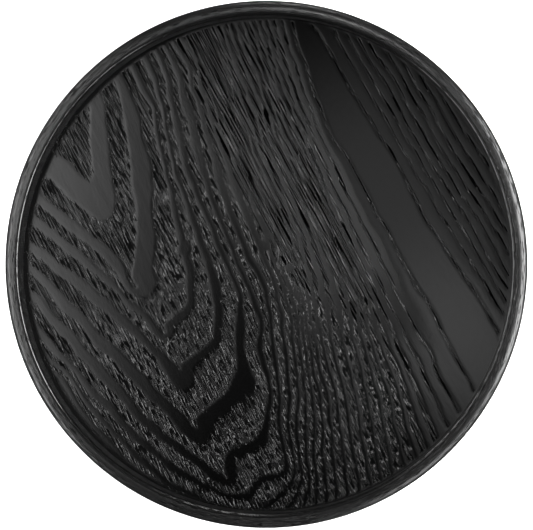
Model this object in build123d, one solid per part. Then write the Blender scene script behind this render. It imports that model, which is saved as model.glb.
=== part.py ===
"""Round serving tray: a veneered plywood floor let into a rim of four bent ash strips.

All sizes are in millimetres. +Z is up and the origin is the centre of the face that the tray
stands on. The rim is a bent lamination. Its two inner strips are shorter, which leaves a rebate
at the foot of the wall, and the floor panel is glued up into that rebate from below.
"""

from build123d import *
import os
from math import cos, radians, sin

# Overall
TRAY_DIAMETER = 330.0
TRAY_HEIGHT = 20.0

# Floor panel, from the serving face down
FACE_VENEER = 0.6
CORE_PLY = 1.4
BACK_VENEER = 0.6
FLOOR_RECESS = 1.6  # the panel's back stands this far above the table
PANEL_CLEARANCE = 0.1  # radial glue gap between the panel's edge and the rebate

# Rim
STRIP_THICKNESS = 2.3
INNER_STRIPS = 2  # the strips that stop at the floor and form the rebate
OUTER_STRIPS = 2  # the strips that run down to the table
SHOULDER_WIDTH = 7.0  # the outer top corner is a flat elliptical round: this far in from the side
SHOULDER_DROP = 4.5  # and this far down from the top
LIP_RADIUS = 1.5  # small round on the inner top edge
FOOT_RADIUS = 1.4  # round on the outer bottom edge
FOOT_BREAK = 0.4  # chamfer on the inner bottom edge
CREST_WIDTH = 0.4  # least flat left between the shoulder and the lip

# Butt joints where the ends of each bent strip meet, as angles from +X
INNER_JOINT_ANGLE = 13.3
OUTER_JOINT_ANGLE = 30.0
JOINT_STAGGER = 1.4  # neighbouring strips of a pair are jointed this far apart
JOINT_BEVEL = 12.0  # slant of the cut from the radius
JOINT_GAP = 0.12

OUTSIDE_RADIUS = TRAY_DIAMETER / 2
RIM_THICKNESS = STRIP_THICKNESS * (INNER_STRIPS + OUTER_STRIPS)
WALL_RADIUS = OUTSIDE_RADIUS - RIM_THICKNESS
REBATE_RADIUS = WALL_RADIUS + STRIP_THICKNESS * INNER_STRIPS
PANEL_RADIUS = REBATE_RADIUS - PANEL_CLEARANCE
FLOOR_LEVEL = FLOOR_RECESS + BACK_VENEER + 3 * CORE_PLY + FACE_VENEER

FLOOR_PLIES = (
    ("floor_face_veneer", FACE_VENEER),
    ("floor_core_upper", CORE_PLY),
    ("floor_core_middle", CORE_PLY),
    ("floor_core_lower", CORE_PLY),
    ("floor_back_veneer", BACK_VENEER),
)
STRIP_NAMES = ("rim_strip_inner", "rim_strip_second", "rim_strip_third", "rim_strip_outer")


def rim_section():
    """The finished section of the whole rim, drawn on the XZ plane with X as the radius."""
    shoulder = min(SHOULDER_WIDTH, RIM_THICKNESS - LIP_RADIUS - CREST_WIDTH)
    drop = min(SHOULDER_DROP, TRAY_HEIGHT - FOOT_RADIUS - CREST_WIDTH)
    foot = min(FOOT_RADIUS, STRIP_THICKNESS - FOOT_BREAK)
    inside, outside = WALL_RADIUS, OUTSIDE_RADIUS
    with BuildSketch(Plane.XZ) as section:
        with BuildLine():
            Polyline(
                (inside + LIP_RADIUS, TRAY_HEIGHT),
                (outside - shoulder, TRAY_HEIGHT),
            )
            EllipticalCenterArc((outside - shoulder, TRAY_HEIGHT - drop), shoulder, drop, arc_size=90)
            Line((outside, TRAY_HEIGHT - drop), (outside, foot))
            RadiusArc((outside, foot), (outside - foot, 0), foot)
            Polyline(
                (outside - foot, 0),
                (REBATE_RADIUS + FOOT_BREAK, 0),
                (REBATE_RADIUS, FOOT_BREAK),
                (REBATE_RADIUS, FLOOR_LEVEL),
                (inside, FLOOR_LEVEL),
                (inside, TRAY_HEIGHT - LIP_RADIUS),
            )
            RadiusArc((inside, TRAY_HEIGHT - LIP_RADIUS), (inside + LIP_RADIUS, TRAY_HEIGHT), LIP_RADIUS)
        make_face()
    return section.sketch


def joint_angle(index):
    """Where the ends of strip index meet, counting strips from the inside out."""
    if index < INNER_STRIPS:
        return INNER_JOINT_ANGLE + JOINT_STAGGER * index
    return OUTER_JOINT_ANGLE - JOINT_STAGGER * (INNER_STRIPS + OUTER_STRIPS - 1 - index)


def joint_cut(index):
    """A thin upright slab that parts the ends of strip index."""
    radius = WALL_RADIUS + STRIP_THICKNESS * (index + 0.5)
    angle = joint_angle(index)
    centre = (radius * cos(radians(angle)), radius * sin(radians(angle)), TRAY_HEIGHT / 2)
    slab = Box(3 * STRIP_THICKNESS, JOINT_GAP, 2 * TRAY_HEIGHT)
    return Location(centre, (0, 0, angle + JOINT_BEVEL)) * slab


def rim_strip(index):
    """One bent strip of the rim, counting from the inside out, cut from the finished section."""
    low = WALL_RADIUS + STRIP_THICKNESS * index
    with BuildSketch(Plane.XZ) as band:
        with Locations(((low + STRIP_THICKNESS / 2), TRAY_HEIGHT / 2)):
            Rectangle(STRIP_THICKNESS, 2 * TRAY_HEIGHT)
    ring = revolve(rim_section() & band.sketch, Axis.Z, 360)
    return ring - joint_cut(index)


def floor_ply(top, thickness):
    """One disc of the floor panel, with its upper face at height top."""
    return Pos(0, 0, top - thickness / 2) * Cylinder(PANEL_RADIUS, thickness)


def write(name, shape):
    """Writes one named node as a STEP file."""
    shape.label = name
    export_step(shape, os.path.join("parts", name + ".step"))


def main():
    os.makedirs("parts", exist_ok=True)
    top = FLOOR_LEVEL
    for name, thickness in FLOOR_PLIES:
        write(name, floor_ply(top, thickness))
        top -= thickness
    for index, name in enumerate(STRIP_NAMES):
        write(name, rim_strip(index))


main()
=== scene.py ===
"""Looks of a round serving tray in black lacquered open-pore ash.

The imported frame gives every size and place. Units are metres unless a name says mm. +Z is up and
the origin is the middle of the face that the tray stands on.
"""
import logging
import math
from dataclasses import dataclass
from enum import Enum
from typing import Any

import bpy
import numpy as np
from bpy.types import Material, Mesh, Node, NodeSocket, NodeTree, Object
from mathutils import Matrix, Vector


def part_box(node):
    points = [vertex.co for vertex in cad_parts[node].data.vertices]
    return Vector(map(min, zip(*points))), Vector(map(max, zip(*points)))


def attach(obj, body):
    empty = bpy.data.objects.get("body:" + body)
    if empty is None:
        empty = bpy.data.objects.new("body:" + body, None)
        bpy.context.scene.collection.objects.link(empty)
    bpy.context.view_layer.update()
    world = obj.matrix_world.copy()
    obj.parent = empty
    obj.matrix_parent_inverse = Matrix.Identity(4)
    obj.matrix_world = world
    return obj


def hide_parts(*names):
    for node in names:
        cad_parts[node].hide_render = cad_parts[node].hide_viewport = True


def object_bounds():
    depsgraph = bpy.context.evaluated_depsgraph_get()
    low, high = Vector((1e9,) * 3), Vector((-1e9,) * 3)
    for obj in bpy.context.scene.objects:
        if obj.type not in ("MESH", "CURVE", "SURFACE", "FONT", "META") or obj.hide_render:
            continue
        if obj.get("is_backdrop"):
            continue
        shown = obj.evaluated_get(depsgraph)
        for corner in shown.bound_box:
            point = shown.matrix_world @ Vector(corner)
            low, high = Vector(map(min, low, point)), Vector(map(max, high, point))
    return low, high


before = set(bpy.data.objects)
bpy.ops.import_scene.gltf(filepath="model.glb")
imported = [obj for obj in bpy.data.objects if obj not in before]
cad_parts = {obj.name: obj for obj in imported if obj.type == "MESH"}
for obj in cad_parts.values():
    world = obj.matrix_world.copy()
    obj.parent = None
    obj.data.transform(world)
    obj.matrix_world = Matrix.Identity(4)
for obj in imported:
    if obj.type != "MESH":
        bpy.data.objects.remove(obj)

MM = 0.001
FIBRE_ANGLE = math.radians(62.0)  # the veneer's fibres run this far below +X
LACQUER_IOR = 1.5
FULL_SHEEN = 0.5  # specular level of plain lacquer
CLOSED_LEVEL = 1.4  # level that no noise passes, so that no pore opens
log = logging.getLogger("tray")


class Attribute(str, Enum):
    """Names of the mesh attributes that the wood finishes read."""

    LATE = "late_wood_mm"
    LEAN = "late_wood_lean"
    ROWS = "pores_in_rows"
    # Satin finish, and the lighter colour drawn with it as painted light.
    SATIN = "satin_ground"
    AROUND = "around_mm"
    ACROSS = "across_mm"
    WALL = "inner_wall"
    LIP = "sanded_lip"


# ---- Helpers ----


def linear(colour: str) -> tuple[float, float, float, float]:
    """Turns an sRGB hex colour to linear RGBA.

    Args:
        colour: six hex digits after a hash.

    Returns:
        Red, green, blue and alpha, linear.
    """
    parts = [int(colour[i : i + 2], 16) / 255 for i in (1, 3, 5)]
    rgb = [c / 12.92 if c <= 0.04045 else ((c + 0.055) / 1.055) ** 2.4 for c in parts]
    return (rgb[0], rgb[1], rgb[2], 1.0)


def feed(tree: NodeTree, node: Node, inputs: dict[Any, Any]) -> None:
    """Sets or links a node's inputs.

    Args:
        tree: the tree that holds the node.
        node: the node.
        inputs: input name or index to a value, or to the output, or the node whose first output,
            it is linked from.
    """
    for key, value in inputs.items():
        value = value.outputs[0] if isinstance(value, Node) else value
        if isinstance(value, NodeSocket):
            tree.links.new(value, node.inputs[key])
        else:
            node.inputs[key].default_value = value


def add_node(tree: NodeTree, kind: str, inputs: dict[Any, Any] | None = None, **settings: Any) -> Node:
    """Adds a node with its settings, values and links.

    Args:
        tree: the tree that gets the node.
        kind: the node's type name.
        inputs: what its inputs get, as for feed.
        **settings: properties of the node itself.

    Returns:
        The new node.
    """
    node = tree.nodes.new(kind)
    for name, value in settings.items():
        setattr(node, name, value)
    feed(tree, node, inputs or {})
    return node


def stretched_noise(
    tree: NodeTree, grain: Node, size_mm: tuple[float, float], detail: float
) -> NodeSocket:
    """Adds noise drawn out along the fibres.

    Args:
        tree: the tree that gets the nodes.
        grain: the node that gives the point's place, in millimetres along and across the fibres.
        size_mm: size of the noise along and across the fibres.
        detail: octaves of finer noise on top.

    Returns:
        The noise, about 0.5 on average.
    """
    drawn = add_node(tree, "ShaderNodeVectorMath", {
        0: grain, 1: (1 / size_mm[0], 1 / size_mm[1], 0)}, operation="MULTIPLY")
    noise = add_node(tree, "ShaderNodeTexNoise", {
        "Vector": drawn, "Scale": 1.0, "Detail": detail}, noise_dimensions="2D")
    return noise.outputs["Fac"]


def new_material(name: str) -> tuple[Material, NodeTree, Node]:
    """Makes a material.

    Args:
        name: the material's name.

    Returns:
        The material, its node tree and its main shader.
    """
    made = bpy.data.materials.new(name)
    made.use_nodes = True
    return made, made.node_tree, made.node_tree.nodes["Principled BSDF"]


def read_attributes(tree: NodeTree, *keys: Attribute) -> list[NodeSocket]:
    """Reads mesh attributes into a material, one output for each."""
    nodes = [add_node(tree, "ShaderNodeAttribute", attribute_name=key.value) for key in keys]
    return [node.outputs["Fac"] for node in nodes]


def plain_mesh(piece: Object) -> None:
    """Applies a piece's modifiers, so that it holds a plain mesh.

    Args:
        piece: the object, already linked to the scene.
    """
    evaluated = piece.evaluated_get(bpy.context.evaluated_depsgraph_get())
    mesh = bpy.data.meshes.new_from_object(evaluated)
    mesh.name = piece.name
    piece.modifiers.clear()
    piece.data = mesh


def run_tree(piece: Object, tree: NodeTree, values: dict[str, Any]) -> None:
    """Runs a geometry tree on a piece and keeps the result as its mesh.

    Args:
        piece: the object that carries the tree.
        tree: the geometry tree.
        values: input name to value.
    """
    modifier = piece.modifiers.new(tree.name, "NODES")
    modifier.node_group = tree
    for item in tree.interface.items_tree:
        if item.item_type == "SOCKET" and item.in_out == "INPUT" and item.name in values:
            modifier[item.identifier] = values[item.name]
    plain_mesh(piece)


def new_piece(name: str, mesh: Mesh) -> Object:
    """Links a new object.

    Args:
        name: the object's name.
        mesh: the mesh that it holds.

    Returns:
        The object.
    """
    piece = bpy.data.objects.new(name, mesh)
    bpy.context.scene.collection.objects.link(piece)
    return piece


def settle(piece: Object, slot: str, *nodes: str) -> None:
    """Rides a finished piece on the tray's one body in place of its frame nodes.

    Args:
        piece: the finished object.
        slot: the record's material slot; not used.
        *nodes: the frame nodes that it stands for.
    """
    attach(piece, "root")
    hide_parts(*nodes)
    log.info("%s: %d faces", piece.name, len(piece.data.polygons))


# ---- The veneer's figure ----


@dataclass(frozen=True)
class RingLine:
    """One growth ring drawn on the veneer, in millimetres from the tray's centre.

    Attributes:
        count: the ring's count outwards from the heart of the figure.
        points: places that the ring passes through.
    """

    count: float
    points: tuple[tuple[float, float], ...]


CATHEDRAL = (
    RingLine(0.0, ((-133, 61), (-112, 42), (-102, 36), (-104, 65), (-106, 101))),
    RingLine(1.0, ((-143, 39), (-108, 13), (-93, -3), (-85, -18), (-77, -1), (-75, 20), (-77, 49),
                   (-86, 100))),
    RingLine(2.0, ((-145, 26), (-104, -6), (-75, -35), (-64, -48), (-60, -37), (-47, -29), (-46, -15),
                   (-48, 2), (-60, 50), (-70, 100))),
    RingLine(3.0, ((-146, 8), (-98, -28), (-68, -55), (-50, -78), (-49, -64), (-32, -52), (-28, -38),
                   (-29, -16), (-42, 20), (-56, 60), (-66, 105))),
    RingLine(4.0, ((-145, -8), (-104, -51), (-75, -78), (-50, -103), (-38, -114), (-38, -99), (-16, -82),
                   (-12, -68), (-14, -50), (-15, -16), (-27, 11), (-42, 45), (-53, 76), (-60, 110))),
    RingLine(5.0, ((-144, -26), (-108, -64), (-73, -103), (-41, -126), (-21, -140), (-20, -122),
                   (-1, -111), (4, -98), (5, -74), (-2, -55), (0, -35), (-6, -22), (-20, 11),
                   (-34, 45), (-50, 105))),
    RingLine(6.0, ((-139, -51), (-89, -103), (-62, -126), (-33, -143), (-9, -147), (0, -135), (17, -131),
                   (12, -105), (9, -74), (6, -40), (3, -16), (-10, 8), (-26, 48), (-41, 103))),
    RingLine(8.0, ((-131, -74), (-114, -99), (-89, -126))),
)
STRAIGHT_GRAIN = (
    RingLine(8.0, ((24, -126), (22, -103), (23, -74), (19, -43), (14, -16), (0, 24), (-23, 76),
                   (-41, 134))),
    RingLine(12.0, ((46, -130), (44, -112), (42, -85), (34, -53), (29, -22), (17, 22), (-6, 72),
                    (-33, 147))),
    RingLine(16.0, ((74, -128), (71, -114), (67, -85), (59, -53), (54, -22), (32, 32), (9, 82),
                    (-16, 151))),
    RingLine(20.0, ((106, -115), (102, -105), (90, -70), (77, -39), (65, -8), (42, 40), (19, 97),
                    (0, 153))),
    RingLine(23.5, ((139, -92), (129, -74), (109, -33), (84, 9), (65, 47), (42, 84), (21, 142))),
    RingLine(24.5, ((148, -43), (134, -18), (102, 30), (84, 65), (57, 107), (37, 145))),
    RingLine(28.5, ((155, -8), (140, 20), (121, 49), (104, 76), (84, 113), (67, 140))),
)
ISLANDS = (((-50.0, 10.0), 4.5), ((2.0, 12.0), 3.0), ((17.0, -2.0), 2.5))


@dataclass(frozen=True)
class Figure:
    """A smooth count of growth rings over the whole veneer, bent through the ring lines.

    Attributes:
        lines: the rings that it follows.
        step_mm: spacing of the places taken along each ring line.
        wave_share: height of the small waves that a tree's rings have, as a share of their length.
        wave_count: how many such waves are laid over one another.
        wave_mm: shortest and longest wave.
        seed: seed of the waves.
        least_slope: gentlest slope of the count per millimetre, which keeps the bands' widths sane.
        band_share: widest half of a smooth band, as a share of the way to the next ring.
        row_half_mm: half the width of a row of pores, in the close and in the wide straight grain.
        ease: how far the surface may miss a ring line, so that it stays smooth.
        HALF_AT: ring counts at which half the width of a smooth band is given.
        HALF_MM: that half width.
    """

    lines: tuple[RingLine, ...]
    step_mm: float = 9.0
    wave_share: float = 0.005
    wave_count: int = 26
    wave_mm: tuple[float, float] = (9.0, 42.0)
    seed: int = 7
    least_slope: float = 0.012
    band_share: float = 0.22
    row_half_mm: tuple[float, float] = (1.7, 1.1)
    ease: float = 0.02

    HALF_AT = (0.0, 1.0, 2.0, 3.0, 4.0, 5.0, 6.0, 8.0, 12.0, 23.0)
    HALF_MM = (4.0, 4.0, 2.0, 2.4, 3.6, 2.6, 2.2, 1.6, 1.2, 1.1)

    def places(self) -> tuple[np.ndarray, np.ndarray]:
        """Takes evenly spaced places along the ring lines.

        Returns:
            N by 2 places and each one's ring count.
        """
        spots, counts = [], []
        for line in self.lines:
            points = np.array(line.points, float)
            run = np.concatenate([[0], np.cumsum(np.hypot(*np.diff(points, axis=0).T))])
            stops = np.linspace(0, run[-1], max(2, round(run[-1] / self.step_mm)))
            spots.append(np.column_stack([np.interp(stops, run, points[:, i]) for i in (0, 1)]))
            counts.append(np.full(len(stops), line.count))
        return np.concatenate(spots), np.concatenate(counts)

    def waves(self, where: np.ndarray) -> np.ndarray:
        """Small seeded waves of the rings.

        Args:
            where: N by 2 places, in millimetres.

        Returns:
            How far the rings shift there, in millimetres.
        """
        rng = np.random.default_rng(self.seed)
        shift = np.zeros(len(where))
        for _ in range(self.wave_count):
            length = rng.uniform(*self.wave_mm)
            turn, phase = rng.uniform(0, 2 * math.pi, 2)
            wave = 2 * math.pi / length * np.array([math.cos(turn), math.sin(turn)])
            shift += self.wave_share * length * np.sin(where @ wave + phase)
        return shift

    def read(self, where: np.ndarray) -> tuple[np.ndarray, np.ndarray]:
        """Ring count and its slope at each place, from a thin plate bent through the lines.

        Args:
            where: N by 2 places, in millimetres.

        Returns:
            N counts and N by 2 slopes per millimetre.
        """
        spots, counts = self.places()
        gap = spots[:, None] - spots[None]
        square = np.maximum((gap**2).sum(-1), 1e-6)
        plate = 0.5 * square * np.log(square)
        flat = np.column_stack([np.ones(len(spots)), spots])
        size = len(spots)
        system = np.zeros((size + 3, size + 3))
        system[:size, :size] = plate + self.ease * size * np.eye(size)
        system[:size, size:] = flat
        system[size:, :size] = flat.T
        weights = np.linalg.solve(system, np.concatenate([counts, np.zeros(3)]))
        value, slope = np.zeros(len(where)), np.zeros((len(where), 2))
        for start in range(0, len(where), 8192):
            part = where[start : start + 8192]
            gap = part[:, None] - spots[None]
            square = np.maximum((gap**2).sum(-1), 1e-6)
            pull = weights[:size] * (np.log(square) + 1)
            value[start : start + 8192] = (0.5 * square * np.log(square)) @ weights[:size]
            slope[start : start + 8192] = np.einsum("ij,ijk->ik", pull, gap)
        value += weights[size] + where @ weights[size + 1 :]
        slope += weights[size + 1 :]
        return value, slope

    def wood(self, where: np.ndarray, wall_mm: float) -> dict[Attribute, np.ndarray]:
        """What the veneer is like at each place.

        Args:
            where: N by 2 places, in millimetres.
            wall_mm: radius of the rim's wall, along whose foot the lacquer pools.

        Returns:
            LATE: depth inside a smooth band of late wood, negative in the porous early wood.
            LEAN: how fast that depth changes along the fibres, from -1 to 1.
            ROWS: how far the pores are the long thin ones of the straight grain, from 0 to 1.
            SATIN: how far the wood between the rows is brushed to a satin and drawn lighter as painted
                light, from 0 to 1.
        """
        count, slope = self.read(where)
        steep = np.maximum(np.hypot(*slope.T), self.least_slope)
        count = count + self.waves(where) * steep
        offset = count - np.round(count)
        half = np.interp(count, self.HALF_AT, self.HALF_MM)
        half *= np.sqrt(np.clip(1 / (steep * 12), 0.7, 3.5))
        half *= np.interp(where[:, 0], (-140, -80), (1.5, 1.0))
        half = np.minimum(half, self.band_share / steep)
        # Up the tray, more and more of the straight grain has its pores in rows.
        upward = np.interp(where[:, 1], (-55, 0), (0.0, 1.0))
        higher = np.interp(where[:, 1], (20, 80), (0.0, 3.0))
        rows = np.interp(count + 12 * upward + higher, (18.0, 21.0), (0.0, 1.0))
        row_half = np.interp(count, (16.0, 24.0), self.row_half_mm)
        half = half * (1 - rows) + (0.5 / steep - row_half) * rows
        depth = half - np.abs(offset) / steep
        for (x, y), radius in ISLANDS:
            depth = np.maximum(depth, radius - np.hypot(where[:, 0] - x, where[:, 1] - y))
        # Lacquer fills the pores along the foot of the wall, most of all on the left. There the strip
        # also gets the lighter satin colour as painted light.
        leftward = np.interp(where[:, 0], (-110, -20), (1.0, 0.0))
        pooled_and_painted_light = np.clip(1 - (wall_mm - np.hypot(*where.T)) / (2.5 + 3.5 * leftward), 0, 1)
        depth = np.maximum(depth, 3.0 * pooled_and_painted_light - 1.5)
        # The flanks of the cathedral on the left have finer, longer pores.
        finer = np.interp(where @ (1.0, -0.4), (-75, -30), (0.6, 0.0))
        fibre = np.array([math.cos(FIBRE_ANGLE), -math.sin(FIBRE_ANGLE)])
        # Painted reflection: the satin share also draws the ground lighter, so it is put up the tray
        # where the smooth ground mirrors the overhead glow, and thins out near the top.
        ground = np.where(count < 20, count + higher, count)
        satin = np.interp(ground, (6.0, 12.0, 22.9, 23.3, 24.6, 25.0), (0.0, 1.0, 1.0, 0.0, 0.0, 0.3))
        return {
            Attribute.LATE: np.clip(depth, -15, 15),
            Attribute.LEAN: -np.sign(offset) * (slope @ fibre) / steep,
            Attribute.ROWS: np.maximum(rows, finer),
            Attribute.SATIN: np.maximum(
                satin * upward * np.interp(where[:, 1], (50, 140), (1.0, 0.4)),
                # Painted light: the lighter satin colour along the foot of the left wall.
                0.6 * pooled_and_painted_light * leftward,
            ),
        }


# ---- Finishes ----


@dataclass(frozen=True)
class LacqueredVeneer:
    """Black nitrocellulose lacquer rubbed onto brushed open-pore ash veneer.

    The thin lacquer leaves every pore open. Late wood is hard and reads as smooth, glossy bands;
    early wood is a field of short furrows along the fibres, which scatter the light.

    Attributes:
        colour: the lacquer over late wood.
        satin_painted_light_colour: the lacquer over the satin wood, drawn lighter as painted light.
        pore_shade_colour: painted shade, the lacquer down in a pore drawn darker than the satin ground.
        pore_length_mm: usual length of a pore's furrow.
        pore_pitch_mm: spacing of the furrows; real vessels are 0.3 mm, drawn coarser to show.
        pore_depth_mm: depth of a furrow.
        row_length_mm: usual length of a large pore, of those that stand in rows.
        row_pitch_mm: spacing of those pores.
        row_depth_mm: depth of those pores.
        pore_level: level that the noise must pass to open a furrow in the early wood.
        row_level: the same where the pores stand in rows.
        pore_soft: how far below and past that level a furrow's side runs.
        pore_sheen: sheen left in a furrow.
        reach_mm: how far a band's edge steps along the fibres from one furrow to the next.
        lane_mm: length and width of such a step.
        edge_mm: half the width over which early wood turns to late wood.
        wave_mm: length and width of the lacquer's soft waves.
        wave_depth_mm: height of those waves.
        gloss: roughness of the smooth late wood.
        brushed: roughness of the early wood.
        satin: roughness of the wood between the rows of pores.
        brush_mm: length and width of the wire brush's scratches.
        scratch_mm: depth of those scratches in the satin wood.
        scratch_share: share of that depth left elsewhere.
    """

    colour: str = "#010101"
    satin_painted_light_colour: str = "#0c0c0c"
    pore_shade_colour: str = "#010101"
    pore_length_mm: float = 8.0
    pore_pitch_mm: float = 0.95
    pore_depth_mm: float = 0.35
    row_length_mm: float = 34.0
    row_pitch_mm: float = 0.5
    row_depth_mm: float = 0.22
    pore_level: float = 0.46
    row_level: float = 0.42
    pore_soft: tuple[float, float] = (-0.05, 0.11)
    pore_sheen: float = 0.1
    reach_mm: float = 10.0
    lane_mm: tuple[float, float] = (30.0, 1.0)
    edge_mm: float = 0.7
    wave_mm: tuple[float, float] = (22.0, 5.0)
    wave_depth_mm: float = 0.02
    gloss: float = 0.11
    brushed: float = 0.22
    satin: float = 0.36
    brush_mm: tuple[float, float] = (4.0, 0.7)
    scratch_mm: float = 0.08
    scratch_share: float = 0.1

    def material(self, name: str) -> Material:
        """Builds the material.

        Args:
            name: the material's name.

        Returns:
            The new material.
        """
        made, tree, shader = new_material(name)
        place = add_node(tree, "ShaderNodeTexCoord")
        grain = add_node(tree, "ShaderNodeMapping", {
            "Vector": place.outputs["Object"], "Rotation": (0, 0, FIBRE_ANGLE), "Scale": (1 / MM,) * 3})
        late, lean, rows, satin = read_attributes(
            tree, Attribute.LATE, Attribute.LEAN, Attribute.ROWS, Attribute.SATIN)
        # Each vessel carries its own bit of the band's edge along the fibre.
        lane = stretched_noise(tree, grain, self.lane_mm, 1.0)
        shift = add_node(tree, "ShaderNodeMath", {0: lane, 1: 0.5}, operation="SUBTRACT")
        reach = add_node(tree, "ShaderNodeMath", {0: shift, 1: self.reach_mm}, operation="MULTIPLY")
        step = add_node(tree, "ShaderNodeMath", {0: reach, 1: lean, 2: late}, operation="MULTIPLY_ADD")
        smooth = add_node(tree, "ShaderNodeMapRange", {
            "Value": step, "From Min": -self.edge_mm, "From Max": self.edge_mm},
            interpolation_type="SMOOTHSTEP")
        # Furrows: noise drawn out along the fibres and cut at a level that late wood raises.
        streak = stretched_noise(tree, grain, (self.pore_length_mm, self.pore_pitch_mm), 0.0)
        row_streak = stretched_noise(tree, grain, (self.row_length_mm, self.row_pitch_mm), 0.0)
        open_level = add_node(tree, "ShaderNodeMapRange", {
            "Value": rows, "To Min": self.pore_level, "To Max": self.row_level})
        level = add_node(tree, "ShaderNodeMapRange", {
            "Value": smooth, "To Min": open_level, "To Max": CLOSED_LEVEL})
        either = add_node(tree, "ShaderNodeMix", {0: rows, 2: streak, 3: row_streak})
        over = add_node(tree, "ShaderNodeMath", {0: either, 1: level}, operation="SUBTRACT")
        pore = add_node(tree, "ShaderNodeMapRange", {
            "Value": over, "From Min": self.pore_soft[0], "From Max": self.pore_soft[1]},
            interpolation_type="SMOOTHSTEP")
        # Lacquer pools a little, which leaves soft waves in the gloss of the smooth bands.
        waves = stretched_noise(tree, grain, self.wave_mm, 3.0)
        deep = add_node(tree, "ShaderNodeMapRange", {
            "Value": rows, "To Min": -self.pore_depth_mm, "To Max": -self.row_depth_mm})
        sunk = add_node(tree, "ShaderNodeMath", {0: pore, 1: deep}, operation="MULTIPLY")
        base = add_node(tree, "ShaderNodeMath", {
            0: waves, 1: self.wave_depth_mm, 2: sunk}, operation="MULTIPLY_ADD")
        # The satin wood keeps the wire brush's fine scratches.
        scratch = stretched_noise(tree, grain, self.brush_mm, 1.0)
        brush = add_node(tree, "ShaderNodeMapRange", {
            "Value": satin, "To Min": self.scratch_share * self.scratch_mm, "To Max": self.scratch_mm})
        height = add_node(tree, "ShaderNodeMath", {
            0: scratch, 1: brush, 2: base}, operation="MULTIPLY_ADD")
        bump = add_node(tree, "ShaderNodeBump", {"Strength": 1.0, "Distance": MM, "Height": height})
        # Painted light: the satin share draws the ground in the lighter satin colour.
        sound = add_node(tree, "ShaderNodeMix", {
            0: satin, 6: linear(self.colour), 7: linear(self.satin_painted_light_colour)}, data_type="RGBA")
        # Painted shade: a pore is drawn darker than the satin ground.
        colour = add_node(tree, "ShaderNodeMix", {
            0: pore, 6: sound.outputs[2], 7: linear(self.pore_shade_colour)}, data_type="RGBA")
        polish = add_node(tree, "ShaderNodeMapRange", {
            "Value": satin, "To Min": self.gloss, "To Max": self.satin})
        rough = add_node(tree, "ShaderNodeMapRange", {
            "Value": smooth, "To Min": self.brushed, "To Max": polish})
        # Light that falls down a deep pore hardly comes back.
        trapped = add_node(tree, "ShaderNodeMapRange", {
            "Value": rows, "To Min": self.pore_sheen, "To Max": 0.0})
        sheen = add_node(tree, "ShaderNodeMapRange", {
            "Value": pore, "From Min": 0.25, "From Max": 0.85,
            "To Min": FULL_SHEEN, "To Max": trapped})
        feed(tree, shader, {
            "Base Color": colour.outputs[2], "Roughness": rough, "IOR": LACQUER_IOR,
            "Normal": bump, "Specular IOR Level": sheen})
        return made


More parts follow.
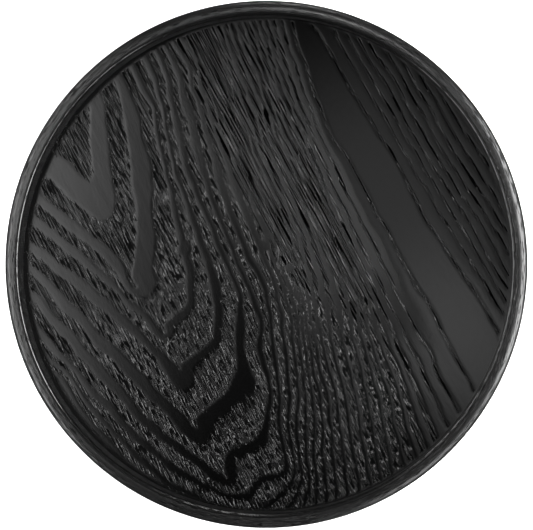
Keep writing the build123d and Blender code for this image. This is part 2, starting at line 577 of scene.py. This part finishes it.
@dataclass(frozen=True)
class LacqueredStrip:
    """The same black lacquer over bent ash strips, sanded round after gluing.

    The fibres run round the rim, so its pores are long thin furrows that follow the curve.

    Attributes:
        colour: the lacquer on sound wood.
        pore_shade_colour: painted shade, the lacquer down in a pore drawn darker than the sound wood.
        pore_length_mm: usual length of a furrow.
        pore_pitch_mm: spacing of the furrows across the section, drawn coarser than the real 0.3.
        pore_depth_mm: depth of a furrow.
        pore_sheen: sheen left in a furrow.
        pore_levels: levels that the noise must pass to open a furrow, in open and in dense wood.
        ring_mm: length and width of the bands of open and dense wood.
        tick_pitch_mm: spacing of the cutter's upright marks on the inner wall.
        tick_depth_mm: height of those marks.
        lip_share: share of a furrow's depth that is left on the sanded lip.
        gloss: roughness of sound wood, which is halved on the lip.
        pore_gloss: roughness down in a furrow.
    """

    colour: str = "#040404"
    pore_shade_colour: str = "#020202"
    pore_length_mm: float = 7.0
    pore_pitch_mm: float = 0.55
    pore_depth_mm: float = 0.16
    pore_sheen: float = 0.1
    pore_levels: tuple[float, float] = (0.46, 0.62)
    ring_mm: tuple[float, float] = (90.0, 2.2)
    tick_pitch_mm: float = 1.6
    tick_depth_mm: float = 0.1
    lip_share: float = 0.1
    gloss: float = 0.30
    pore_gloss: float = 0.45

    def material(self, name: str) -> Material:
        """Builds the material.

        Args:
            name: the material's name.

        Returns:
            The new material.
        """
        made, tree, shader = new_material(name)
        around, across, wall, lip = read_attributes(
            tree, Attribute.AROUND, Attribute.ACROSS, Attribute.WALL, Attribute.LIP)
        grain = add_node(tree, "ShaderNodeCombineXYZ", {0: around, 1: across})
        streak = stretched_noise(tree, grain, (self.pore_length_mm, self.pore_pitch_mm), 1.5)
        ring = stretched_noise(tree, grain, self.ring_mm, 2.0)
        level = add_node(tree, "ShaderNodeMapRange", {
            "Value": ring, "From Min": 0.35, "From Max": 0.65,
            "To Min": self.pore_levels[0], "To Max": self.pore_levels[1]})
        over = add_node(tree, "ShaderNodeMath", {0: streak, 1: level}, operation="SUBTRACT")
        pore = add_node(tree, "ShaderNodeMapRange", {
            "Value": over, "From Min": 0.0, "From Max": 0.08}, interpolation_type="SMOOTHSTEP")
        turn = add_node(tree, "ShaderNodeMath", {
            0: around, 1: 2 * math.pi / self.tick_pitch_mm}, operation="MULTIPLY")
        tick = add_node(tree, "ShaderNodeMath", {0: turn}, operation="SINE")
        cut = add_node(tree, "ShaderNodeMath", {0: tick, 1: wall}, operation="MULTIPLY")
        ticks = add_node(tree, "ShaderNodeMath", {0: cut, 1: self.tick_depth_mm}, operation="MULTIPLY")
        depth = add_node(tree, "ShaderNodeMapRange", {
            "Value": lip,
            "To Min": -self.pore_depth_mm, "To Max": -self.lip_share * self.pore_depth_mm})
        height = add_node(tree, "ShaderNodeMath", {0: pore, 1: depth, 2: ticks}, operation="MULTIPLY_ADD")
        bump = add_node(tree, "ShaderNodeBump", {"Strength": 1.0, "Distance": MM, "Height": height})
        # Painted shade: a furrow is drawn darker than the sound wood.
        colour = add_node(tree, "ShaderNodeMix", {
            0: pore, 6: linear(self.colour), 7: linear(self.pore_shade_colour)}, data_type="RGBA")
        sanded = add_node(tree, "ShaderNodeMapRange", {
            "Value": lip, "To Min": self.gloss, "To Max": 0.5 * self.gloss})
        rough = add_node(tree, "ShaderNodeMapRange", {
            "Value": pore, "To Min": sanded, "To Max": self.pore_gloss})
        trapped = add_node(tree, "ShaderNodeMapRange", {
            "Value": pore, "From Min": 0.2, "To Min": FULL_SHEEN, "To Max": self.pore_sheen})
        feed(tree, shader, {
            "Base Color": colour.outputs[2], "Roughness": rough, "IOR": LACQUER_IOR,
            "Normal": bump, "Specular IOR Level": trapped})
        return made


@dataclass(frozen=True)
class RotaryPoplar:
    """Bare rotary-cut poplar ply: pale, nearly figureless wood with fine dull fibres.

    Attributes:
        colour: the sound wood.
        streak_colour: mineral streaks along the fibres.
        turn: direction of the fibres, which crosses over from ply to ply.
        fibre_mm: length, width and depth of a streak.
        rough: roughness of the sanded ply.
    """

    colour: str = "#cbb088"
    streak_colour: str = "#a98a62"
    turn: float = 0.0
    fibre_mm: tuple[float, float, float] = (40.0, 0.8, 0.8)
    rough: float = 0.7

    def material(self, name: str) -> Material:
        """Builds the material.

        Args:
            name: the material's name.

        Returns:
            The new material.
        """
        made, tree, shader = new_material(name)
        place = add_node(tree, "ShaderNodeTexCoord")
        grain = add_node(tree, "ShaderNodeMapping", {
            "Vector": place.outputs["Object"], "Rotation": (0, 0, self.turn), "Scale": (1 / MM,) * 3})
        drawn = add_node(tree, "ShaderNodeVectorMath", {
            0: grain, 1: [1 / size for size in self.fibre_mm]}, operation="MULTIPLY")
        fibre = add_node(tree, "ShaderNodeTexNoise", {"Vector": drawn, "Scale": 1.0, "Detail": 4.0})
        colour = add_node(tree, "ShaderNodeMix", {
            0: fibre.outputs["Fac"], 6: linear(self.colour), 7: linear(self.streak_colour)},
            data_type="RGBA")
        bump = add_node(tree, "ShaderNodeBump", {
            "Strength": 0.6, "Distance": 0.05 * MM, "Height": fibre.outputs["Fac"]})
        feed(tree, shader, {
            "Base Color": colour.outputs[2], "Roughness": self.rough, "Normal": bump})
        return made


# ---- The floor panel ----


class Side(Enum):
    """Which way a veneer faces."""

    FACE = 1
    BACK = -1


@dataclass
class FloorPanel:
    """The floor: an ash veneer on each side of three poplar plies.

    Attributes:
        figure: the face veneer's growth rings.
        finish: the veneers' finish.
        relief: how far the brushed early wood lies below the late wood.
        face_cells: squares across the face veneer's mesh.
        back_cells: squares across the back veneer's mesh.
    """

    figure: Figure
    finish: LacqueredVeneer
    relief: float = 0.07 * MM
    face_cells: int = 290
    back_cells: int = 170

    def relief_tree(self) -> NodeTree:
        """Builds the geometry tree that sinks the early wood and gives the veneer its finish.

        Returns:
            The tree.
        """
        tree = bpy.data.node_groups.new("brushed_relief", "GeometryNodeTree")
        face = tree.interface
        face.new_socket("Geometry", in_out="INPUT", socket_type="NodeSocketGeometry")
        face.new_socket("Relief", in_out="INPUT", socket_type="NodeSocketFloat")
        face.new_socket("Finish", in_out="INPUT", socket_type="NodeSocketMaterial")
        face.new_socket("Geometry", in_out="OUTPUT", socket_type="NodeSocketGeometry")
        given = add_node(tree, "NodeGroupInput")
        late = add_node(tree, "GeometryNodeInputNamedAttribute", {
            "Name": Attribute.LATE.value}, data_type="FLOAT")
        sunk = add_node(tree, "ShaderNodeMapRange", {
            "Value": late, "From Min": -1.2, "From Max": 0.8, "To Min": -1.0, "To Max": 0.0},
            interpolation_type="SMOOTHSTEP")
        depth = add_node(tree, "ShaderNodeMath", {
            0: sunk, 1: given.outputs["Relief"]}, operation="MULTIPLY")
        drop = add_node(tree, "ShaderNodeCombineXYZ", {2: depth})
        moved = add_node(tree, "GeometryNodeSetPosition", {
            "Geometry": given.outputs["Geometry"], "Offset": drop})
        real = add_node(tree, "GeometryNodeRealizeInstances", {"Geometry": moved})
        dressed = add_node(tree, "GeometryNodeSetMaterial", {
            "Geometry": real, "Material": given.outputs["Finish"]})
        add_node(tree, "NodeGroupOutput", {"Geometry": dressed})
        return tree

    def disc(self, name: str, node: str, side: Side, cells: int) -> Object:
        """A closed disc over a veneer's box, its outer side in even squares that carry the figure.

        Args:
            name: the piece's name.
            node: the frame node that it stands for.
            side: which side is seen.
            cells: squares across.

        Returns:
            The disc, with the late wood's depth and lean on every point.
        """
        low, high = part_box(node)
        radius = max(high.x, -low.x)
        line = np.linspace(-1, 1, cells + 1)
        u, v = (g.ravel() for g in np.meshgrid(line, line))
        # A square grid pressed into a disc, with squares of nearly one size.
        x = radius * u * np.sqrt(1 - v * v / 2)
        y = radius * v * np.sqrt(1 - u * u / 2)
        seen, hidden = (high.z, low.z) if side is Side.FACE else (low.z, high.z)
        inner, second = (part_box(strip)[1].x for strip in ("rim_strip_inner", "rim_strip_second"))
        wood = self.figure.wood(np.column_stack([x * side.value, y]) / MM, (2 * inner - second) / MM)
        top = np.column_stack([x, y, np.full_like(x, seen)])
        i, j = (g.ravel() for g in np.meshgrid(np.arange(cells), np.arange(cells)))
        corner = j * (cells + 1) + i
        quads = np.column_stack([corner, corner + 1, corner + cells + 2, corner + cells + 1])
        edge = np.concatenate([
            np.arange(cells),
            np.arange(cells) * (cells + 1) + cells,
            (cells + 1) ** 2 - 1 - np.arange(cells),
            (cells - np.arange(cells)) * (cells + 1),
        ])
        below = top[edge] * (1, 1, 0) + (0, 0, hidden)
        under = len(top) + np.arange(len(edge))
        faces = quads.tolist()
        for a, b, c, d in zip(edge, np.roll(edge, -1), np.roll(under, -1), under):
            faces.append([int(b), int(a), int(d), int(c)])
        faces.append([int(k) for k in under[::-1]])
        if side is Side.BACK:
            faces = [f[::-1] for f in faces]
        mesh = bpy.data.meshes.new(name)
        mesh.from_pydata(np.concatenate([top, below]).tolist(), [], faces)
        fill = np.zeros(len(edge))
        for key, values in wood.items():
            layer = mesh.attributes.new(key.value, "FLOAT", "POINT")
            layer.data.foreach_set("value", np.concatenate([values, fill]).astype(np.float32))
        return new_piece(name, mesh)

    def build(self) -> None:
        """Builds both veneers and dresses the plies between them."""
        tree = self.relief_tree()
        finish = self.finish.material("lacquered_ash_veneer")
        for name, node, side, cells in (
            ("face_veneer", "floor_face_veneer", Side.FACE, self.face_cells),
            ("back_veneer", "floor_back_veneer", Side.BACK, self.back_cells),
        ):
            piece = self.disc(name, node, side, cells)
            run_tree(piece, tree, {"Relief": self.relief * side.value, "Finish": finish})
            piece.data.shade_smooth()
            piece.data.set_sharp_from_angle(angle=math.radians(40))
            settle(piece, "lacquered_ash_veneer", node)
        for index, node in enumerate(("floor_core_upper", "floor_core_middle", "floor_core_lower")):
            ply = RotaryPoplar(turn=FIBRE_ANGLE + math.pi / 2 * ((index + 1) % 2))
            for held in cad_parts[node].material_slots:
                held.material = ply.material(f"poplar_{node}")
            log.info("%s: dressed", node)


# ---- The rim ----


@dataclass
class BentRim:
    """The rim: four bent strips, glued and then turned to one rounded section.

    Attributes:
        finish: the strips' finish.
        shoulder: how far in from the side the outer top round reaches.
        drop: how far down from the top that round reaches.
        lip: radius of the inner top round.
        foot: radius of the outer bottom round.
        foot_break: chamfer at the inner bottom edge.
        glue_ease: depth of the fine line that shows where two strips meet.
        joint_gap: width of the gap between a strip's two ends.
        joint_bevel: slant of that gap from the radius.
        joint_angles: where each strip's ends meet, from the inside out.
        segments: steps round a whole strip.
        wood_step_mm: how far each strip's pattern starts from the one before.
        NODES: the strips' frame nodes, from the inside out.
    """

    finish: LacqueredStrip
    shoulder: float = 7.0 * MM
    drop: float = 4.5 * MM
    lip: float = 1.5 * MM
    foot: float = 1.4 * MM
    foot_break: float = 0.4 * MM
    glue_ease: float = 0.08 * MM
    joint_gap: float = 0.12 * MM
    joint_bevel: float = math.radians(12.0)
    joint_angles: tuple[float, ...] = (13.3, 14.7, 28.6, 30.0)
    segments: int = 720
    wood_step_mm: float = 37.0

    NODES = ("rim_strip_inner", "rim_strip_second", "rim_strip_third", "rim_strip_outer")

    def __post_init__(self) -> None:
        """Reads the rim's radii and heights from the frame."""
        boxes = [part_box(node) for node in self.NODES]
        self.outsides = [max(high.x, high.y, -low.x, -low.y) for low, high in boxes]
        steps = np.diff(self.outsides)
        self.inside = self.outsides[0] - float(steps.mean())
        self.bottoms = [low.z for low, _ in boxes]
        self.top = max(high.z for _, high in boxes)

    def crown(self, radius: float) -> float:
        """Gives the height of the rim's top.

        Args:
            radius: how far out.

        Returns:
            The height there.
        """
        from_inside, from_outside = radius - self.inside, self.outsides[-1] - radius
        if from_inside < self.lip:
            return self.top - self.lip + math.sqrt(max(0.0, self.lip**2 - (self.lip - from_inside) ** 2))
        if from_outside < self.shoulder:
            share = 1 - from_outside / self.shoulder
            return self.top - self.drop + self.drop * math.sqrt(max(0.0, 1 - share**2))
        return self.top

    def stops(self, low: float, high: float) -> list[float]:
        """Gives the radii at which the crown is drawn, closest where it turns most.

        Args:
            low: the strip's inner radius.
            high: the strip's outer radius.

        Returns:
            The radii, from low to high.
        """
        turns = np.radians(np.linspace(0, 90, 15))
        marks = [self.inside + self.lip * (1 - math.cos(t)) for t in turns]
        marks += [self.outsides[-1] - self.shoulder * (1 - math.sin(t)) for t in turns]
        inner = [m for m in marks if low + 1e-5 < m < high - 1e-5]
        return sorted([low, *inner, high])

    def section(self, index: int) -> list[tuple[float, float]]:
        """Gives the closed section of one strip.

        Args:
            index: the strip, counted from the inside out.

        Returns:
            Radius and height of each point, from the foot's inner corner.
        """
        low = self.inside if index == 0 else self.outsides[index - 1]
        high = self.outsides[index]
        floor = self.bottoms[index]
        first, last = index == 0, index == len(self.NODES) - 1
        run: list[tuple[float, float]] = []
        if index == 2:
            run += [(low + self.foot_break, floor), (low, floor + self.foot_break)]
        else:
            run.append((low, floor))
        ease = self.glue_ease
        crown = [(r, self.crown(r)) for r in self.stops(low, high)]
        if not first:
            crown[0] = (low, self.crown(low) - ease)
            crown.insert(1, (low + ease, self.crown(low + ease)))
        if not last:
            crown[-1] = (high, self.crown(high) - ease)
            crown.insert(-1, (high - ease, self.crown(high - ease)))
        wall_top = crown[0][1]
        side = np.linspace(run[-1][1], wall_top, 5)[1:-1]
        run += [(low, float(z)) for z in side] + crown
        if last:
            for turn in np.radians(np.linspace(0, 90, 7)):
                run.append((high - self.foot * (1 - math.cos(turn)), self.foot * (1 - math.sin(turn))))
        else:
            run.append((high, floor))
        return run

    def section_curve(self, index: int) -> Object:
        """Draws a strip's section as a closed flat curve.

        Args:
            index: the strip, counted from the inside out.

        Returns:
            The curve, with X the radius past the strip's path.
        """
        middle = self.middle(index)
        points = self.section(index)
        data = bpy.data.curves.new(f"section_{index}", "CURVE")
        data.dimensions = "3D"
        line = data.splines.new("POLY")
        line.points.add(len(points) - 1)
        for point, (radius, height) in zip(line.points, points):
            point.co = (radius - middle, -height, 0, 1)
        line.use_cyclic_u = True
        made = bpy.data.objects.new(data.name, data)
        bpy.context.scene.collection.objects.link(made)
        return made

    def middle(self, index: int) -> float:
        """Radius of the path that a strip's section follows."""
        return self.inside if index == 0 else self.outsides[index - 1]

    def strip_tree(self) -> NodeTree:
        """Builds the geometry tree that bends one section round the rim and stores where its wood lies.

        Returns:
            The tree.
        """
        tree = bpy.data.node_groups.new("bent_strip", "GeometryNodeTree")
        face = tree.interface
        for name, kind in (
            ("Section", "NodeSocketObject"), ("Radius", "NodeSocketFloat"), ("Start", "NodeSocketFloat"),
            ("Sweep", "NodeSocketFloat"), ("Bevel", "NodeSocketFloat"), ("Segments", "NodeSocketInt"),
            ("Offset", "NodeSocketFloat"), ("Finish", "NodeSocketMaterial"),
        ):
            face.new_socket(name, in_out="INPUT", socket_type=kind)
        face.new_socket("Geometry", in_out="OUTPUT", socket_type="NodeSocketGeometry")
        given = add_node(tree, "NodeGroupInput")
        arc = add_node(tree, "GeometryNodeCurveArc", {
            "Resolution": given.outputs["Segments"], "Radius": given.outputs["Radius"],
            "Start Angle": given.outputs["Start"], "Sweep Angle": given.outputs["Sweep"]}, mode="RADIUS")
        upright = add_node(tree, "GeometryNodeSetCurveNormal", {"Curve": arc}, mode="Z_UP")
        along = add_node(tree, "GeometryNodeSplineParameter")
        round_mm = add_node(tree, "ShaderNodeMath", {
            0: along.outputs["Length"], 1: 1 / MM}, operation="MULTIPLY")
        path = add_node(tree, "GeometryNodeStoreNamedAttribute", {
            "Geometry": upright, "Name": Attribute.AROUND.value, "Value": round_mm},
            data_type="FLOAT", domain="POINT")
        drawn = add_node(tree, "GeometryNodeObjectInfo", {"Object": given.outputs["Section"]})
        across_mm = add_node(tree, "ShaderNodeMath", {
            0: along.outputs["Length"], 1: 1 / MM, 2: given.outputs["Offset"]}, operation="MULTIPLY_ADD")
        profile = add_node(tree, "GeometryNodeStoreNamedAttribute", {
            "Geometry": drawn.outputs["Geometry"], "Name": Attribute.ACROSS.value,
            "Value": across_mm}, data_type="FLOAT", domain="POINT")
        swept = add_node(tree, "GeometryNodeCurveToMesh", {
            "Curve": path, "Profile Curve": profile, "Fill Caps": True})
        # The cut between a strip's ends leans off the radius, so every layer turns a little more.
        spot = add_node(tree, "GeometryNodeInputPosition")
        flat = add_node(tree, "ShaderNodeVectorMath", {0: spot, 1: (1, 1, 0)}, operation="MULTIPLY")
        reach = add_node(tree, "ShaderNodeVectorMath", {0: flat}, operation="LENGTH")
        out = add_node(tree, "ShaderNodeMath", {
            0: reach.outputs["Value"], 1: given.outputs["Radius"]}, operation="SUBTRACT")
        share = add_node(tree, "ShaderNodeMath", {0: out, 1: given.outputs["Radius"]}, operation="DIVIDE")
        angle = add_node(tree, "ShaderNodeMath", {
            0: share, 1: given.outputs["Bevel"]}, operation="MULTIPLY")
        turned = add_node(tree, "ShaderNodeVectorRotate", {
            "Vector": spot, "Angle": angle}, rotation_type="Z_AXIS")
        bevelled = add_node(tree, "GeometryNodeSetPosition", {"Geometry": swept, "Position": turned})
        real = add_node(tree, "GeometryNodeRealizeInstances", {"Geometry": bevelled})
        dressed = add_node(tree, "GeometryNodeSetMaterial", {
            "Geometry": real, "Material": given.outputs["Finish"]})
        add_node(tree, "NodeGroupOutput", {"Geometry": dressed})
        return tree

    def mark_wall(self, mesh: Mesh) -> None:
        """Marks the inner wall, where the cutter left its ticks, and the lip, which is sanded smooth.

        Args:
            mesh: a strip's mesh.
        """
        spots = np.empty(len(mesh.vertices) * 3, np.float32)
        mesh.vertices.foreach_get("co", spots)
        spots = spots.reshape(-1, 3)
        radius = np.hypot(spots[:, 0], spots[:, 1])
        inner = (radius < self.inside + 0.05 * MM) & (spots[:, 2] < self.top - self.lip)
        lip = (radius < self.inside + 1.5 * self.lip) & (spots[:, 2] > self.top - 1.5 * self.lip)
        for key, mask in ((Attribute.WALL, inner), (Attribute.LIP, lip)):
            layer = mesh.attributes.new(key.value, "FLOAT", "POINT")
            layer.data.foreach_set("value", mask.astype(np.float32))

    def build(self) -> None:
        """Bends the four strips."""
        tree = self.strip_tree()
        finish = self.finish.material("lacquered_ash_rim")
        for index, node in enumerate(self.NODES):
            section = self.section_curve(index)
            piece = new_piece(node.replace("rim_", "") + "_bent", bpy.data.meshes.new(node))
            radius = self.middle(index)
            gap = self.joint_gap / radius
            start = math.radians(self.joint_angles[index]) + gap / 2
            run_tree(piece, tree, {
                "Section": section, "Radius": radius, "Start": start, "Sweep": 2 * math.pi - gap,
                "Bevel": math.tan(self.joint_bevel), "Segments": self.segments + 1,
                "Offset": self.wood_step_mm * index, "Finish": finish})
            bpy.data.objects.remove(section)
            self.mark_wall(piece.data)
            piece.data.shade_smooth()
            piece.data.set_sharp_from_angle(angle=math.radians(30))
            settle(piece, "lacquered_ash_rim", node)


# ---- The studio ----


@dataclass(frozen=True)
class Softbox:
    """A rectangular studio light that faces the tray.

    Attributes:
        name: the light's name.
        place: its middle.
        size: its width and height.
        glow: brightness of its face, where a white card in the light is about 1.
        spread: width of its beam; a grid in front narrows it and keeps its power.
    """

    name: str
    place: tuple[float, float, float]
    size: tuple[float, float]
    glow: float
    spread: float = math.pi

    def build(self) -> None:
        """Adds the light."""
        data = bpy.data.lights.new(self.name, "AREA")
        data.shape = "RECTANGLE"
        data.size, data.size_y = self.size
        data.energy = self.glow * math.pi * self.size[0] * self.size[1]
        data.spread = self.spread
        light = bpy.data.objects.new(self.name, data)
        light.location = self.place
        light.rotation_euler = (-Vector(self.place)).to_track_quat("-Z", "Y").to_euler()
        bpy.context.scene.collection.objects.link(light)


@dataclass(frozen=True)
class Glow:
    """A soft round glow far off in the room, such as a bounced light on the ceiling.

    Attributes:
        lean: degrees from straight up to its middle.
        turn: degrees round from +X to its middle.
        core: degrees from its middle to where it starts to fade.
        edge: degrees from its middle to where it is gone.
        strength: brightness of its middle, where a white card in the light is about 1.
    """

    lean: float
    turn: float
    core: float
    edge: float
    strength: float

    def add(self, tree: NodeTree, towards: NodeSocket) -> NodeSocket:
        """Adds the glow's nodes.

        Args:
            tree: the world's tree.
            towards: the direction looked in.

        Returns:
            The glow's brightness in that direction.
        """
        lean, turn = math.radians(self.lean), math.radians(self.turn)
        middle = (math.sin(lean) * math.cos(turn), math.sin(lean) * math.sin(turn), math.cos(lean))
        near = add_node(tree, "ShaderNodeVectorMath", {0: towards, 1: middle}, operation="DOT_PRODUCT")
        off = add_node(tree, "ShaderNodeMath", {0: near.outputs["Value"]}, operation="ARCCOSINE")
        fade = add_node(tree, "ShaderNodeMapRange", {
            "Value": off,
            "From Min": math.radians(self.core), "From Max": math.radians(self.edge),
            "To Min": self.strength, "To Max": 0.0}, interpolation_type="SMOOTHSTEP")
        return fade.outputs[0]


@dataclass
class Studio:
    """Camera, lights and a plain white floor.

    Attributes:
        tilt: how far the camera leans from straight above, towards +X.
        distance: from the camera to the tray.
        fill: share of the picture's width that the tray takes.
        aim: where the camera looks, off the tray's middle.
        floor_radius: radius of the white floor.
        boxes: the softboxes.
        glows: the glows overhead, which the smooth wood mirrors.
    """

    tilt: float = math.radians(8.0)
    distance: float = 1.0
    fill: float = 0.994
    aim: tuple[float, float] = (4.4 * MM, -0.4 * MM)
    floor_radius: float = 12.0
    boxes: tuple[Softbox, ...] = (
        Softbox("right_side", (1.15, 0.10, 0.50), (1.6, 0.8), 18.0),
        Softbox("left_side", (-1.25, 0.0, 0.50), (2.4, 0.7), 6.0),
        Softbox("back_side", (0.0, 1.4, 0.22), (0.5, 0.18), 12.0),
        Softbox("near_lip", (0.0, 0.38, 0.52), (1.0, 0.10), 1.3, math.radians(30)),
        Softbox("far_lip", (0.75, -0.95, 0.50), (0.8, 0.35), 12.0),
    )
    glows: tuple[Glow, ...] = (
        Glow(lean=30.0, turn=172.0, core=8.0, edge=21.5, strength=3.6),
        Glow(lean=2.8, turn=-112.0, core=0.5, edge=5.2, strength=1.5),
        Glow(lean=4.9, turn=144.0, core=1.0, edge=6.5, strength=0.75),
    )

    def camera(self, width: float, height: float) -> None:
        """Adds the camera.

        Args:
            width: the tray's width.
            height: the tray's height.
        """
        data = bpy.data.cameras.new("camera")
        data.lens = data.sensor_width * self.distance / (width / self.fill)
        made = bpy.data.objects.new("camera", data)
        back = Vector((math.sin(self.tilt), 0, math.cos(self.tilt)))
        made.location = Vector((*self.aim, height)) + back * self.distance
        made.rotation_euler = (0, self.tilt, 0)
        bpy.context.scene.collection.objects.link(made)
        bpy.context.scene.camera = made

    def floor(self) -> None:
        """Adds the white floor, lit a little from within so that it stays white."""
        mesh = bpy.data.meshes.new("studio_floor")
        turns = np.linspace(0, 2 * math.pi, 97)[:-1]
        ring = [(self.floor_radius * math.cos(a), self.floor_radius * math.sin(a), 0) for a in turns]
        mesh.from_pydata(ring, [], [list(range(len(ring)))])
        made, tree, shader = new_material("white_card")
        feed(tree, shader, {
            "Base Color": linear("#e7e7e7"), "Roughness": 0.9,
            "Emission Color": linear("#ffffff"), "Emission Strength": 0.8})
        # Only the camera sees it white; the lacquer is lit and mirrored by a dark grey one.
        grey = add_node(tree, "ShaderNodeBsdfDiffuse", {"Color": linear("#383838")})
        seen = add_node(tree, "ShaderNodeLightPath")
        mixed = add_node(tree, "ShaderNodeMixShader", {
            0: seen.outputs["Is Camera Ray"], 1: grey, 2: shader})
        tree.links.new(mixed.outputs[0], tree.nodes["Material Output"].inputs["Surface"])
        mesh.materials.append(made)
        new_piece("studio_floor", mesh)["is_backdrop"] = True

    def world(self) -> None:
        """Adds a pale room with a dark ceiling, which keeps the lacquer black from above."""
        world = bpy.data.worlds.new("studio")
        bpy.context.scene.world = world
        world.use_nodes = True
        tree = world.node_tree
        place = add_node(tree, "ShaderNodeTexCoord")
        split = add_node(tree, "ShaderNodeSeparateXYZ", {0: place.outputs["Generated"]})
        shade = add_node(tree, "ShaderNodeMapRange", {
            "Value": split.outputs[2], "From Min": 0.1, "From Max": 0.7, "To Min": 0.2, "To Max": 0.02},
            interpolation_type="SMOOTHSTEP")
        seen = add_node(tree, "ShaderNodeLightPath")
        bright = add_node(tree, "ShaderNodeMath", {
            0: shade, 1: seen.outputs["Is Camera Ray"]}, operation="ADD")
        for glow in self.glows:
            lit = glow.add(tree, place.outputs["Generated"])
            bright = add_node(tree, "ShaderNodeMath", {0: bright, 1: lit}, operation="ADD")
        feed(tree, tree.nodes["Background"], {
            "Color": linear("#ffffff"), "Strength": bright})

    def build(self, width: float, height: float) -> None:
        """Builds the whole studio.

        Args:
            width: the tray's width.
            height: the tray's height.
        """
        bpy.context.scene.view_settings.view_transform = "Standard"
        self.camera(width, height)
        self.floor()
        self.world()
        for box in self.boxes:
            box.build()


def main() -> None:
    """Builds the tray and its studio."""
    logging.basicConfig(level=logging.INFO, format="%(name)s: %(message)s")
    low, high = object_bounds()
    Studio().build(high.x - low.x, high.z)
    FloorPanel(Figure(CATHEDRAL + STRAIGHT_GRAIN), LacqueredVeneer()).build()
    BentRim(LacqueredStrip()).build()


if __name__ == "__main__":
    main()
